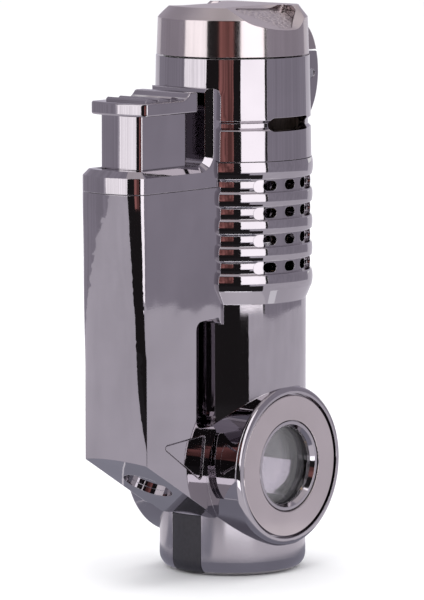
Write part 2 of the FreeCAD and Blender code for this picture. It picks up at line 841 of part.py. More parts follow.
# ---------------------------------------------------------------- igniter

def piezo_block(name, long, wide, low, high):
    """An upright block centred on the igniter."""
    return block(name, (f"piezo_x - ({long}) / 2", f"piezo_x + ({long}) / 2"),
                 (f"-({wide}) / 2", f"({wide}) / 2"), (low, high))


frame_arms = [block(name, ("frame_right - 0.25", "-8.4"), span, ("41.9", "45"))
              for name, span in (("front_arm", ("-4.4", "-3.4")), ("rear_arm", ("3.4", "4.4")))]
node("inner_frame", cut(
    "inner_frame_cut",
    fuse("inner_frame_blank",
         block("frame_body", ("-26", "frame_right - 0.05"), ("-4.8", "4.8"), ("21.3", "piezo_high")),
         *frame_arms),
    piezo_block("piezo_pocket", "piezo_long + 0.1", "piezo_wide + 0.1",
                "piezo_low - 0.05", "piezo_high + 1"),
    piezo_block("frame_hollow", "piezo_long - 2", "piezo_wide - 2", "22.5", "piezo_low"),
    cylinder("lever_pin_bore", "lever_pin + 0.01", "12", "lever_x", "6", "lever_z", TO_FRONT),
))

node("piezo_body", cut(
    "piezo_body_cut",
    piezo_block("piezo_case", "piezo_long", "piezo_wide", "piezo_low", "piezo_high"),
    piezo_block("plunger_bore", "plunger_long + 0.1", "plunger_wide + 0.1",
                "piezo_low + 2.8", "piezo_high + 1"),
    cylinder("crystal_pocket", "1.55", "4", "piezo_x", 0, "piezo_low + 0.8"),
))
node("piezo_crystal", cylinder("piezo_crystal_rod", "1.5", "1.9",
                               "piezo_x", 0, "piezo_low + 0.8"))
node("piezo_plunger", piezo_block("piezo_plunger_bar", "plunger_long", "plunger_wide",
                                  "plunger_low", "plunger_high"))
node("piezo_spring", coil("piezo_spring", 1.6, 0.6, size("piezo_low + 2.85"),
                          size("plunger_low") - 0.05, 5, size("piezo_x")))

# The lever rocks on its pin: the button's arm presses its end in the leg, and
# the fork at its other end lifts the collar of the valve stem.
lever_bar = block("lever_bar", ("-16.3", "1.5"), ("-2.2", "2.2"), ("lever_z - 0.7", "lever_z + 0.3"))
lever_hub = cylinder("lever_hub", "1.2", "6.4", "lever_x", "3.2", "lever_z", TO_FRONT)
node("valve_lever", cut(
    "valve_lever_cut",
    fuse("valve_lever_blank", lever_bar, lever_hub),
    block("fork_gap", ("-1.4", "3"), ("-1.3", "1.3"), ("lever_z - 2", "lever_z + 2")),
    cylinder("lever_bore", "lever_pin + 0.05", "12", "lever_x", "6", "lever_z", TO_FRONT),
))
node("lever_pin", cylinder("lever_pin_rod", "lever_pin", "8.6",
                           "lever_x", "4.3", "lever_z", TO_FRONT))

def bent_rod(name, radius, bend, start, corner, finish):
    """A round rod that turns one square corner."""
    inward = (start - corner).normalize()
    onward = (finish - corner).normalize()
    before = corner + inward * bend
    after = corner + onward * bend
    middle = corner + (inward + onward) * (bend * (1 - math.sqrt(0.5)))
    route = Part.Wire([Part.LineSegment(start, before).toShape(),
                       Part.Arc(before, middle, after).toShape(),
                       Part.LineSegment(after, finish).toShape()])
    section = Part.Wire(Part.makeCircle(radius, start, start - corner))
    return solid(name, route.makePipeShell([section], True, True))


def above_electrode(height):
    """A point at a height on the electrode's upright axis."""
    return Vector(size("electrode_x"), size("electrode_y"), size(height))


# From the igniter's side across to the foot of the electrode.
node("ignition_wire", bent_rod(
    "ignition_wire", 0.5, 2.0,
    Vector(size("frame_right"), size("electrode_y"), size("wire_height")),
    above_electrode("wire_height"), above_electrode("electrode_low")))


# ---------------------------------------------------------------- valve and burner

node("gas_valve_body", turned("gas_valve_body", [
    ("stem_radius + 0.05", "24.5"),
    ("valve_radius", "24.5"),
    ("valve_radius", "barrel_floor + 0.05"),
    ("valve_flange", "barrel_floor + 0.05"),
    ("valve_flange", "barrel_floor + 1.2"),
    ("valve_radius - 0.2", "barrel_floor + 1.2"),
    ("valve_radius - 0.2", "36.5"),
    ("stem_radius + 0.05", "36.5"),
]))
node("gas_valve_stem", turned("gas_valve_stem", [
    ("0", "25.2"),
    ("stem_radius", "25.2"),
    ("stem_radius", "collar_low"),
    ("2", "collar_low"),
    ("2", "collar_high"),
    ("stem_radius", "collar_high"),
    ("stem_radius", "burner_low + 0.6"),
    ("0", "burner_low + 0.6"),
]))
node("valve_spring", coil("valve_spring", 1.5, 0.45, size("collar_high") + 0.05,
                          size("burner_low") - 0.05, 4))
node("valve_seal", ring("valve_seal", "valve_radius + 0.02", "2.95",
                        "barrel_floor - 2.6", "barrel_floor - 1.6"))
node("pickup_tube", ring("pickup_tube", "0.5", "0.9", "10.6", "24.45"))

node("burner_body", turned("burner_body", [
    ("stem_radius + 0.12", "burner_low"),
    ("burner_body", "burner_low"),
    ("burner_body", "burner_shoulder"),
    ("burner_tube_bore - 0.1", "burner_shoulder"),
    ("burner_tube_bore - 0.1", "burner_shoulder + 2"),
    ("1.5", "burner_shoulder + 2"),
    ("1.5", "burner_low + 2.5"),
    ("stem_radius + 0.12", "burner_low + 2.5"),
]))
node("burner_jet", ring("burner_jet", "0.25", "1.45", "burner_low + 2.55", "burner_low + 6.5"))
node("burner_support", ring("burner_support", "burner_body + 0.05", "barrel_bore - 0.1",
                            "burner_low + 1.6", "burner_low + 2.4"))


def around(count, radius, first=0):
    """Points evenly spaced on a circle about the barrel's axis."""
    for step in range(count):
        angle = math.radians(first + 360 * step / count)
        yield radius * math.cos(angle), radius * math.sin(angle), step


air_holes = [cylinder(f"air_hole_{step}", "0.9", "6", f"{x:.4f}", f"{y:.4f}", "57.5",
                      Rotation(Vector(0, 0, 1), Vector(x, y, 0)))
             for x, y, step in around(4, 1.0, 45)]
node("burner_tube", cut("burner_tube_cut",
                        ring("burner_tube_blank", "burner_tube_bore", "burner_tube",
                             "burner_shoulder", "burner_tube_top"),
                        *air_holes))
flame_holes = [cylinder(f"flame_bore_{step}", "0.45", "3", f"{x:.4f}", f"{y:.4f}", "70.5")
               for x, y, step in around(8, 2.2)]
node("flame_disc", cut("flame_disc_cut",
                       cylinder("flame_disc_blank", "burner_tube_bore - 0.03", "1.4", z="71"),
                       cylinder("flame_bore_middle", "0.6", "3", z="70.5"),
                       *flame_holes))
tip_corner = above_electrode("electrode_high")
tip_end = tip_corner - Vector(tip_corner.x, tip_corner.y, 0).normalize() * 1.8
node("electrode", bent_rod("electrode", 0.38, 0.8,
                           above_electrode("electrode_low + 0.02"), tip_corner, tip_end))
node("electrode_insulator", ring("electrode_insulator", "0.42", "0.75", "56", "74.6",
                                 "electrode_x", "electrode_y"))
node("heat_shield", cut("heat_shield_cut",
                        ring("heat_shield_blank", "top_bore - 0.5", "top_bore - 0.1",
                             "castings_seam + 0.6", "deck_low - 0.1"),
                        side_slots("shield_cutters", size("top_bore - 1"))))


# ---------------------------------------------------------------- fuel tank

def boss_rod(name, radius, low, high):
    """A cylinder along Y through the window boss."""
    return cylinder(name, radius, f"({high}) - ({low})", 0, low, "window_height", TO_REAR)


node("fuel_tank", cut(
    "fuel_tank_cut",
    boss_rod("tank_blank", "tank_radius", "-tank_half", "tank_lid_joint"),
    boss_rod("tank_hollow", "tank_radius - tank_wall", "-tank_half + tank_wall", "tank_half"),
    cylinder("tank_top_hole", "valve_radius + 0.03", "10", z="window_height + 2"),
    cylinder("tank_filler_hole", "filler_radius + 0.03", "10"),
    cylinder("tank_regulator_hole", "adjuster_radius + 0.13", "11", "adjuster_x"),
))
node("tank_lid", turned("tank_lid", [
    ("0", "tank_lid_joint - 1"),
    ("tank_radius - tank_wall - 0.03", "tank_lid_joint - 1"),
    ("tank_radius - tank_wall - 0.03", "tank_lid_joint + 0.03"),
    ("tank_radius", "tank_lid_joint + 0.03"),
    ("tank_radius", "tank_half"),
    ("0", "tank_half"),
], z="window_height", turn=TO_REAR))


# ---------------------------------------------------------------- fuel windows

for side, turn in (("front", TO_FRONT), ("rear", TO_REAR)):
    plate = ring(f"{side}_plate_ring", "plate_hole", "plate_radius",
                 "plate_inner_face", "plate_outer_face", 0, 0, turn, "window_height")
    node(f"{side}_window_plate",
         rounded(f"{side}_plate_soft", plate, 0.12,
                 lambda edge: isinstance(edge.Curve, Part.Circle)
                 and abs(abs(edge.Curve.Center.y) - size("plate_outer_face")) < 0.01))
    node(f"{side}_window_bezel", turned(f"{side}_window_bezel", [
        ("bezel_sight", "lens_outer"),
        ("bezel_sight", "bezel_face - 0.65"),
        ("bezel_sight + 0.45", "bezel_face"),
        ("bezel_nose", "bezel_face"),
        ("bezel_nose", "plate_inner_face - 0.05"),
        ("bezel_flange", "plate_inner_face - 0.05"),
        ("bezel_flange", "bezel_back"),
        ("lens_radius + 0.05", "bezel_back"),
        ("lens_radius + 0.05", "lens_outer"),
    ], z="window_height", turn=turn))
    node(f"{side}_window_lens", turned(f"{side}_window_lens", [
        ("0", "lens_inner"),
        ("lens_radius", "lens_inner"),
        ("lens_radius", "lens_outer - 0.02"),
        ("0", "lens_outer - 0.02"),
    ], z="window_height", turn=turn))
    node(f"{side}_window_seal", ring(f"{side}_window_seal", "bezel_sight + 0.15",
                                     "lens_radius + 0.5", "seal_inner", "lens_inner - 0.02",
                                     0, 0, turn, "window_height"))


# ---------------------------------------------------------------- foot

node("base_insert", common("base_insert_common", foot_blank, block(
    "insert_block", ("-base_radius - 1", "-insert_face"),
    ("-insert_half", "insert_half"), ("0", "insert_top"))))
node("base_cover", cut(
    "base_cover_cut",
    ring("base_cover_disc", "filler_radius + 0.05", "cover_radius", "cover_low", "cover_high"),
    cylinder("dial_hole", "adjuster_radius + 0.1", "5", "adjuster_x"),
))
node("fill_valve_body", turned("fill_valve_body", [
    ("filler_socket", "0"),
    ("filler_radius", "0"),
    ("filler_radius", "filler_top"),
    ("0.5", "filler_top"),
    ("0.5", "filler_top - 0.6"),
    ("1.3", "filler_top - 0.6"),
    ("1.3", "4.25"),
    ("0.6", "4.25"),
    ("0.6", "3"),
    ("filler_socket", "3"),
]))
node("fill_valve_stem", turned("fill_valve_stem", [
    ("0", "3.05"),
    ("0.54", "3.05"),
    ("0.54", "4.4"),
    ("1.2", "4.4"),
    ("1.2", "5"),
    ("0", "5"),
]))
node("fill_valve_spring", coil("fill_valve_spring", 0.9, 0.4, 5.05,
                               size("filler_top") - 0.65, 4))
node("regulator_body", turned("regulator_body", [
    ("0.86", "2.15"),
    ("adjuster_radius + 0.1", "2.15"),
    ("adjuster_radius + 0.1", "10.4"),
    ("0.4", "10.4"),
    ("0.4", "7.3"),
    ("0.86", "7.3"),
], "adjuster_x"))
node("flame_adjuster", cut(
    "flame_adjuster_cut",
    turned("flame_adjuster_blank", [
        ("0", "0.5"),
        ("adjuster_radius", "0.5"),
        ("adjuster_radius", "2"),
        ("0.8", "2"),
        ("0.8", "7"),
        ("0", "7"),
    ], "adjuster_x"),
    block("dial_slot", ("adjuster_x - 3", "adjuster_x + 3"), ("-0.3", "0.3"), ("-1", "1.1")),
))


# ---------------------------------------------------------------- flip cap

scoop_fall = math.degrees(math.atan2(size("cap_top - scoop_foot"),
                                     size("cap_radius - 0.15 - scoop_edge")))
SCOOP_TURN = Rotation(Vector(1, 0, 0), scoop_fall)


def on_scoop(piece, sink=0):
    """Move a cutter made at the origin to the edge of the front thumb scoop."""
    piece.Placement = Placement(SCOOP_TURN.multVec(Vector(0, 0, -sink)), SCOOP_TURN)
    edge = piece.Placement.Base + Vector(0, -size("scoop_edge"), size("cap_top"))
    piece.Placement.Base = edge
    return piece


def mirrored(name, piece):
    """The same piece on the rear side."""
    copy = doc.addObject("Part::Mirroring", name)
    copy.Source = piece
    copy.Normal = Vector(0, 1, 0)
    return copy


scoop_blank = block("scoop_blank", ("scoop_left", "scoop_right"), ("-16", "5"), ("0", "8"))
scoop_trough = rounded_each("scoop_trough", scoop_blank, [
    (lambda edge: along(edge, ACROSS) and near(edge, x=size("scoop_left"), z=0),
     size("scoop_left_bend")),
    (lambda edge: along(edge, ACROSS) and near(edge, x=size("scoop_right"), z=0),
     size("scoop_right_bend")),
])
doc.recompute()
front_scoop = on_scoop(solid("front_scoop", scoop_trough.Shape))

# The leaf-shaped grip field is sunk a little into the scoop's floor.
leaf_body = doc.addObject("PartDesign::Body", "leaf_body")
leaf_pad = leaf_body.newObject("PartDesign::Pad", "leaf_pad")
leaf_pad.Profile = outline(leaf_body, "XY_Plane", [
    ("-6.3", "-0.3"),
    ("-1.4", "-7.3"),
    ("0.9", "-7.2"),
    ("4.4", "-4.2"),
    ("4.9", "-1.5"),
])
leaf_pad.Length = 3
leaf_body.Tip = leaf_pad
leaf_soft = rounded("leaf_soft", leaf_body, 0.8, lambda edge: along(edge, Vector(0, 0, 1)))
doc.recompute()
front_leaf = on_scoop(solid("front_leaf", leaf_soft.Shape), 0.22)

back_fall = math.degrees(math.atan2(size("cap_top - cap_shoulder"),
                                    size("cap_shoulder_radius - cap_chord")))
back_facet = block("back_facet", ("0", "12"), ("-15", "15"), ("0", "6"))
place(back_facet, "cap_chord", "-15", "cap_top", Rotation(Vector(0, 1, 0), back_fall))

cap_outer = fuse(
    "cap_outer",
    cone("cap_wall", "cap_radius", "cap_shoulder_radius", "cap_shoulder - cap_low", z="cap_low"),
    cone("cap_crown", "cap_shoulder_radius", "cap_top_radius", "cap_top - cap_shoulder",
         z="cap_shoulder"),
    high_lug)
cap_hollow = cut(
    "cap_hollow", cap_outer,
    cylinder("cap_bore_tool", "cap_bore", "cap_ceiling - cap_low + 1", z="cap_low - 1"),
    cylinder("cap_core_tool", "3.4", "4", z="cap_ceiling - 0.5"),
    front_scoop, mirrored("rear_scoop", front_scoop),
    front_leaf, mirrored("rear_leaf", front_leaf),
    back_facet)
knuckle_arm = block("knuckle_arm", ("hinge_x - 1.1", "hinge_x + 0.9"),
                    ("-knuckle_half", "knuckle_half"), ("hinge_z", "cap_low + 1"))
knuckle_barrel = cylinder("knuckle_barrel", "knuckle_radius", "2 * knuckle_half",
                          "hinge_x", "knuckle_half", "hinge_z", TO_FRONT)
node("flip_cap", cut("flip_cap_cut",
                     fuse("flip_cap_blank", cap_hollow, knuckle_arm, knuckle_barrel),
                     pin_hole("knuckle_bore", 0.05)))
node("cap_liner", turned("cap_liner", [
    ("0", "cap_ceiling - 0.45"),
    ("cap_bore - 0.45", "cap_ceiling - 0.45"),
    ("cap_bore - 0.45", "cap_ceiling - 1.6"),
    ("cap_bore - 0.05", "cap_ceiling - 1.6"),
    ("cap_bore - 0.05", "cap_ceiling - 0.05"),
    ("0", "cap_ceiling - 0.05"),
]))
node("hinge_pin", cylinder("hinge_pin_rod", "pin_radius", "2 * lug_half - 0.3",
                           "hinge_x", "lug_half - 0.15", "hinge_z", TO_FRONT))
node("cap_detent_spring", block("detent_strip", ("top_high_radius + 0.35", "hinge_x + 0.9"),
                                ("-knuckle_half", "knuckle_half"),
                                ("hinge_z - knuckle_radius - 0.45",
                                 "hinge_z - knuckle_radius - 0.2")))


# ---------------------------------------------------------------- output

doc.recompute()
failed = [item.Name for item in doc.Objects
          if "Invalid" in item.State or "Error" in item.State]
if failed:
    raise RuntimeError("features failed: " + ", ".join(failed))
for name, piece in nodes.items():
    if piece.Shape.isNull() or not piece.Shape.isValid():
        raise RuntimeError("bad shape: " + name)

os.makedirs("parts", exist_ok=True)
for name, piece in nodes.items():
    piece.Shape.exportStep(f"parts/{name}.step")
    box = piece.Shape.optimalBoundingBox()
    print(f"{name:22s} {len(piece.Shape.Solids)} solid(s) {piece.Shape.Volume:9.2f} mm3"
          f"  x {box.XMin:.2f}..{box.XMax:.2f}  y {box.YMin:.2f}..{box.YMax:.2f}"
          f"  z {box.ZMin:.2f}..{box.ZMax:.2f}")
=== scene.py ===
import math

import bpy
from mathutils import Matrix, Vector, noise


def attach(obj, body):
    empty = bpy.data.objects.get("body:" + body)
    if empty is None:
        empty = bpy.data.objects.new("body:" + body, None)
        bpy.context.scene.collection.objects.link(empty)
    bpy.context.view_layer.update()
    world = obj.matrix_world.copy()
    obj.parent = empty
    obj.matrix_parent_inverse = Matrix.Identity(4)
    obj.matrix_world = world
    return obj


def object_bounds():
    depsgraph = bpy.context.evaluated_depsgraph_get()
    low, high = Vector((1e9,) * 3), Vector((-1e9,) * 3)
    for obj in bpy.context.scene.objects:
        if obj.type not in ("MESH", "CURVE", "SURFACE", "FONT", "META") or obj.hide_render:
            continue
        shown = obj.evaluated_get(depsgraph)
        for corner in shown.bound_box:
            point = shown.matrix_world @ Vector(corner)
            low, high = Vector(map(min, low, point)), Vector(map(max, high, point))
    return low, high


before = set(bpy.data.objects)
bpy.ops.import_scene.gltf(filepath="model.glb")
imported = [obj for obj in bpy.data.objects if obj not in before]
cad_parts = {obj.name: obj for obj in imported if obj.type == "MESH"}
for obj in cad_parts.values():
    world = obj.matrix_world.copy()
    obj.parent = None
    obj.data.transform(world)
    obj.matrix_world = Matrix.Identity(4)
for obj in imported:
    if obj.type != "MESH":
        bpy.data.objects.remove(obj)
cad_low, cad_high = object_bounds()
scene = bpy.context.scene
MM = 0.001

# A torch lighter in dark mirror plating, on white, in a small studio. The barrel's axis is the
# frame's Z axis, the leg with its button is on the -X side, the fuel windows face -Y and +Y.


# ---------------------------------------------------------------- camera

CAMERA_PLACE = Vector((-0.5669, -0.4757, 0.130))
CAMERA_HEADING = math.radians(49.757)    # from +Y towards +X
CAMERA_DIP = math.radians(6.881)
CAMERA_LENS = 295.1                      # millimetres
CAMERA_SENSOR = 36                       # millimetres
CAMERA_RANGE = (0.05, 30)                # nearest and farthest metres that it sees


def make_camera():
    data = bpy.data.cameras.new("camera")
    data.lens = CAMERA_LENS
    data.sensor_width = CAMERA_SENSOR
    data.clip_start, data.clip_end = CAMERA_RANGE
    camera = bpy.data.objects.new("camera", data)
    camera.location = CAMERA_PLACE
    camera.rotation_euler = (math.pi / 2 - CAMERA_DIP, 0, -CAMERA_HEADING)
    scene.collection.objects.link(camera)
    scene.camera = camera


# ---------------------------------------------------------------- materials

class Shader:
    """A Principled material and the few node chains that the materials below share."""

    def __init__(self, name, **values):
        self.material = bpy.data.materials.new(name)
        self.material.use_nodes = True
        self.nodes = self.material.node_tree.nodes
        self.links = self.material.node_tree.links
        self.surface = self.nodes["Principled BSDF"]
        for socket, value in values.items():
            if isinstance(value, tuple):
                value = (*value, 1)
            self.surface.inputs[socket.replace("_", " ")].default_value = value
        coordinates = self.nodes.new("ShaderNodeTexCoord")
        self.place = coordinates.outputs["Object"]
        self.facing = coordinates.outputs["Normal"]
        self.normal = None

    def link(self, output, target):
        self.links.new(output, target)

    def stretched(self, z):
        """Object coordinates scaled along Z: upright streaks where z is below 1."""
        mapping = self.nodes.new("ShaderNodeMapping")
        mapping.inputs["Scale"].default_value = (1, 1, z)
        self.link(self.place, mapping.inputs["Vector"])
        return mapping.outputs["Vector"]

    def upward(self, vector):
        """The Z part of a vector."""
        split = self.nodes.new("ShaderNodeSeparateXYZ")
        self.link(vector, split.inputs["Vector"])
        return split.outputs["Z"]

    def total(self, first, second):
        """The sum of two outputs."""
        node = self.nodes.new("ShaderNodeMath")
        node.operation = "ADD"
        self.link(first, node.inputs[0])
        self.link(second, node.inputs[1])
        return node.outputs["Value"]

    def noise(self, size, detail=3, vector=None):
        """Noise whose features are about `size` metres across."""
        texture = self.nodes.new("ShaderNodeTexNoise")
        texture.inputs["Scale"].default_value = 1 / size
        texture.inputs["Detail"].default_value = detail
        self.link(vector or self.place, texture.inputs["Vector"])
        return texture.outputs["Fac"]

    def spread(self, factor, low, high, start=0.3, stop=0.7):
        """A factor that runs from start to stop, turned into a number from low to high.

        Noise runs from about 0.3 to 0.7.
        """
        scale = self.nodes.new("ShaderNodeMapRange")
        scale.inputs["From Min"].default_value = start
        scale.inputs["From Max"].default_value = stop
        scale.inputs["To Min"].default_value = low
        scale.inputs["To Max"].default_value = high
        self.link(factor, scale.inputs["Value"])
        return scale.outputs["Result"]

    def tones(self, factor, *stops):
        """A factor turned into a colour: stops are (factor, colour)."""
        ramp = self.nodes.new("ShaderNodeValToRGB")
        for element, (place, colour) in zip(ramp.color_ramp.elements, stops):
            element.position = place
            element.color = (*colour, 1)
        self.link(factor, ramp.inputs["Fac"])
        return ramp.outputs["Color"]

    def roughness(self, output):
        self.link(output, self.surface.inputs["Roughness"])

    def colour(self, output):
        self.link(output, self.surface.inputs["Base Color"])

    def soften_edges(self, radius):
        """Sharp edges catch the light like edges rounded to `radius` metres.

        It takes effect through a bump that is added after it.
        """
        node = self.nodes.new("ShaderNodeBevel")
        node.samples = EDGE_SAMPLES
        node.inputs["Radius"].default_value = radius
        self.normal = node.outputs["Normal"]

    def bump(self, height, depth):
        """Adds relief: `height` from 0 to 1 stands for `depth` metres."""
        node = self.nodes.new("ShaderNodeBump")
        node.inputs["Distance"].default_value = depth
        node.inputs["Strength"].default_value = 1.0
        self.link(height, node.inputs["Height"])
        if self.normal:
            self.link(self.normal, node.inputs["Normal"])
        self.normal = node.outputs["Normal"]
        self.link(self.normal, self.surface.inputs["Normal"])


def shade(colour, factor):
    return tuple(channel * factor for channel in colour)


PLATING = (0.42, 0.395, 0.42)
CAP_PLATING = (0.51, 0.46, 0.465)
PLATING_MOTTLE = 0.04       # how far the colour drifts to either side
EDGE_RADIUS = 0.12 * MM
EDGE_SAMPLES = 6
GRAIN_SHARE = 0.02          # depth of the finest relief, as a share of the waviness


def plated(name, colour, roughness, waviness, satin=None):
    """Dark nickel plating over a polished casting, with a slightly wavy surface.

    `satin` gives the extra roughness of the stretches that were blasted before plating.
    """
    shader = Shader(name, Metallic=1.0)
    cloud = shader.noise(size=9 * MM, detail=2)
    shader.colour(shader.tones(cloud, (0.35, shade(colour, 1 - PLATING_MOTTLE)),
                               (0.65, shade(colour, 1 + PLATING_MOTTLE))))
    streaks = shader.noise(size=3 * MM, detail=4, vector=shader.stretched(z=0.35))
    smudge = shader.spread(streaks, *roughness)
    if satin:
        smudge = shader.total(smudge, satin(shader))
    shader.roughness(smudge)
    shader.soften_edges(EDGE_RADIUS)
    shader.bump(shader.noise(size=6 * MM, detail=1), depth=waviness)
    shader.bump(shader.noise(size=0.25 * MM, detail=2), depth=GRAIN_SHARE * waviness)
    return shader.material


FOOT_SATIN = 0.16
FOOT_SATIN_TOP = 9.6 * MM   # above the ground
FOOT_SATIN_END = 10.8 * MM
CROWN_SATIN = 0.22
CROWN_SATIN_START = 0.15    # Z part of the surface's direction, 1 where it faces up
CROWN_SATIN_FULL = 0.35


def foot_satin(shader):
    """Extra roughness on the foot, fading out just above it."""
    return shader.spread(shader.upward(shader.place), low=FOOT_SATIN, high=0,
                         start=FOOT_SATIN_TOP, stop=FOOT_SATIN_END)


def crown_satin(shader):
    """Extra roughness on the cap's bevel, scoops and top, which face upwards."""
    return shader.spread(shader.upward(shader.facing), low=0, high=CROWN_SATIN,
                         start=CROWN_SATIN_START, stop=CROWN_SATIN_FULL)


def clear_glass():
    shader = Shader("clear_glass", Base_Color=(0.99, 0.975, 1.0), IOR=1.5, Transmission_Weight=1.0)
    shader.roughness(shader.spread(shader.noise(size=2 * MM), low=0.0, high=0.02))
    return shader.material


def clear_plastic():
    shader = Shader("clear_plastic", IOR=1.36, Transmission_Weight=1.0)
    shader.colour(shader.tones(shader.noise(size=5 * MM),
                               (0.3, (0.96, 0.945, 0.98)), (0.7, (0.99, 0.98, 1.0))))
    scuffs = shader.noise(size=1.5 * MM, detail=4)
    shader.roughness(shader.spread(scuffs, low=0.0, high=0.005))
    return shader.material


def moulded(name, dark, light, roughness, grain):
    """Moulded plastic or rubber with a fine grain."""
    shader = Shader(name)
    speckle = shader.noise(size=0.5 * MM, detail=5)
    shader.colour(shader.tones(speckle, (0.35, dark), (0.7, light)))
    shader.roughness(shader.spread(shader.noise(size=0.8 * MM), *roughness))
    shader.bump(shader.noise(size=0.12 * MM), depth=grain)
    return shader.material


def turned_metal(name, dark, light, roughness, stretch):
    """Drawn or turned metal: fine streaks along Z where stretch is below 1, else around it."""
    shader = Shader(name, Metallic=1.0)
    streaks = shader.noise(size=0.4 * MM, detail=4, vector=shader.stretched(z=stretch))
    shader.colour(shader.tones(streaks, (0.3, dark), (0.7, light)))
    shader.roughness(shader.spread(streaks, *roughness))
    shader.bump(streaks, depth=0.004 * MM)
    return shader.material


def plain_name(material):
    """A material's name without the number that Blender adds to a name in use."""
    return material.name.split(".")[0]


MATERIALS = {plain_name(material): material for material in (
    plated("dark_chrome", PLATING, (0.02, 0.05), 0.02 * MM, foot_satin),
    plated("satin_chrome", CAP_PLATING, (0.10, 0.14), 0.015 * MM, crown_satin),
    plated("ring_chrome", PLATING, (0.05, 0.10), 0.005 * MM),
    clear_glass(),
    clear_plastic(),
    moulded("black_plastic", (0.018, 0.016, 0.021), (0.026, 0.023, 0.031), (0.38, 0.48),
            0.003 * MM),
    moulded("igniter_plastic", (0.02, 0.02, 0.022), (0.04, 0.04, 0.042), (0.2, 0.35), 0.003 * MM),
    moulded("frame_plastic", (0.16, 0.16, 0.17), (0.24, 0.24, 0.25), (0.4, 0.6), 0.006 * MM),
    moulded("rubber", (0.01, 0.01, 0.01), (0.03, 0.03, 0.03), (0.6, 0.8), 0.006 * MM),
    moulded("ceramic", (0.72, 0.70, 0.66), (0.84, 0.82, 0.78), (0.25, 0.4), 0.002 * MM),
    moulded("wire_sleeve", (0.32, 0.03, 0.02), (0.45, 0.05, 0.03), (0.35, 0.5), 0.003 * MM),
    turned_metal("brass", (0.55, 0.38, 0.15), (0.72, 0.54, 0.26), (0.15, 0.3), 6),
    turned_metal("steel", (0.50, 0.50, 0.51), (0.64, 0.64, 0.65), (0.18, 0.32), 0.1),
    turned_metal("burnt_steel", (0.22, 0.18, 0.15), (0.42, 0.36, 0.31), (0.3, 0.5), 0.3),
)}


def dress_cad_nodes():
    """Each CAD node keeps its slot and gets that slot's material."""
    for cad_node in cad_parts.values():
        for material_slot in cad_node.material_slots:
            material_slot.material = MATERIALS[plain_name(material_slot.material)]


# ---------------------------------------------------------------- studio

WHITE = (2.2, 2.15, 2.2)
BLACK = (0.020, 0.018, 0.019)
LILAC = (0.40, 0.375, 0.44)
BROWN = (0.55, 0.23, 0.21)

# Cards and rings stand round the object, and only its reflections see them. Lengths are in
# metres. Angles are in degrees round the barrel's axis, from the camera's side, positive to the
# camera's right.
TOWARDS_CAMERA = math.atan2(CAMERA_PLACE.y, CAMERA_PLACE.x)

# Upright curved cards. A low edge can slant, so it has a height at each end.
CARDS = (
    # name, from, to, distance, low edge, high edge, darkest and lightest colour
    ("grey_wall_left", -140, -76, 0.24, (0.0, 0.020), 0.60, shade(LILAC, 0.9), shade(LILAC, 1.1)),
    ("grey_low_left", -76, -64, 0.24, (0.020, 0.026), 0.029, LILAC, LILAC),
    ("grey_wall_back", 137, 220, 0.50, (0.10, 0.10), 0.60, shade(LILAC, 1.3), shade(LILAC, 1.4)),
    ("softbox_left", -76, -38.6, 0.47, (0.0, 0.0), 0.60, shade(WHITE, 0.70), shade(WHITE, 0.92)),
    ("dark_flag", -38.6, 11.4, 0.19, (0.0, 0.0), 0.50, BLACK, BLACK),
    ("low_flag", 8.0, 24.0, 0.189, (0.0, 0.0), 0.018, BLACK, BLACK),
    ("brown_flag", -20.0, 1.0, 0.186, (0.036, 0.036), 0.115, shade(BROWN, 0.3), BROWN),
    ("softbox_right", 11.4, 47.7, 0.34, (0.0, 0.0), 0.60, WHITE, WHITE),
    ("softbox_frame", 47.7, 51.3, 0.335, (0.0, 0.0), 0.60, (0.03, 0.03, 0.03), (0.05, 0.05, 0.05)),
    ("grey_wall_right", 51.3, 137, 0.33, (0.0, 0.0), 0.60, shade(LILAC, 0.92), shade(LILAC, 1.08)),
)
CARD_STEP = 2.0             # degrees between the uprights of a card
CARD_ROWS = 40              # level rows of points, closer together near the low edge
CARD_WOBBLE = 0.6           # degrees that a card's upright edges wander
CARD_WOBBLE_PACE = (1.7, 0.7)
CARD_STREAK = 12 * MM

# Level rings, or parts of one: shades and light patches on the table, and the ceiling.
RINGS = (
    # name, from, to, inner radius, outer radius, height, colour
    ("table_shade", -180, 180, 0.0, 0.022, 0.0006, (0.30, 0.30, 0.36)),
    ("table_tone", -180, 180, 0.022, 2.5, 0.0005, (0.74, 0.71, 0.78)),
    # painted light: a brighter band of table round the foot, seen only in the object's reflections
    ("table_near_light", -180, 180, 0.022, 0.048, 0.0007, (0.90, 0.87, 0.93)),
    ("leg_shade", -110, -26, 0.022, 0.056, 0.0010, (0.36, 0.36, 0.43)),
    ("foot_light", -12, 30, 0.048, 0.072, 0.0009, (3.0, 3.0, 3.1)),
    ("foot_glint", 62, 74, 0.048, 0.08, 0.0007, (1.2, 1.2, 1.25)),
    ("rib_shade", -38, 44, 0.070, 0.19, 0.0008, (0.03, 0.028, 0.03)),
    ("ceiling", -180, 180, 0.0, 0.5, 0.62, (0.72, 0.67, 0.70)),
)
RING_COLUMNS = 48
RING_STREAK = 60 * MM
RING_MOTTLE = 0.03          # how far a ring's colour drifts to either side


def stage_piece(name, vertices, faces, material):
    mesh = bpy.data.meshes.new(name)
    mesh.from_pydata(vertices, [], faces)
    mesh.materials.append(material)
    piece = bpy.data.objects.new(name, mesh)
    scene.collection.objects.link(piece)
    return piece


def glow(name, dark, light, streak):
    """A card's own light, in upright streaks about `streak` metres wide."""
    shader = Shader(name)
    streaks = shader.noise(size=streak, vector=shader.stretched(z=0.15))
    emission = shader.nodes.new("ShaderNodeEmission")
    shader.link(shader.tones(streaks, (0.38, dark), (0.62, light)), emission.inputs["Color"])
    shader.nodes.remove(shader.surface)
    shader.link(emission.outputs["Emission"],
                shader.nodes["Material Output"].inputs["Surface"])
    return shader.material


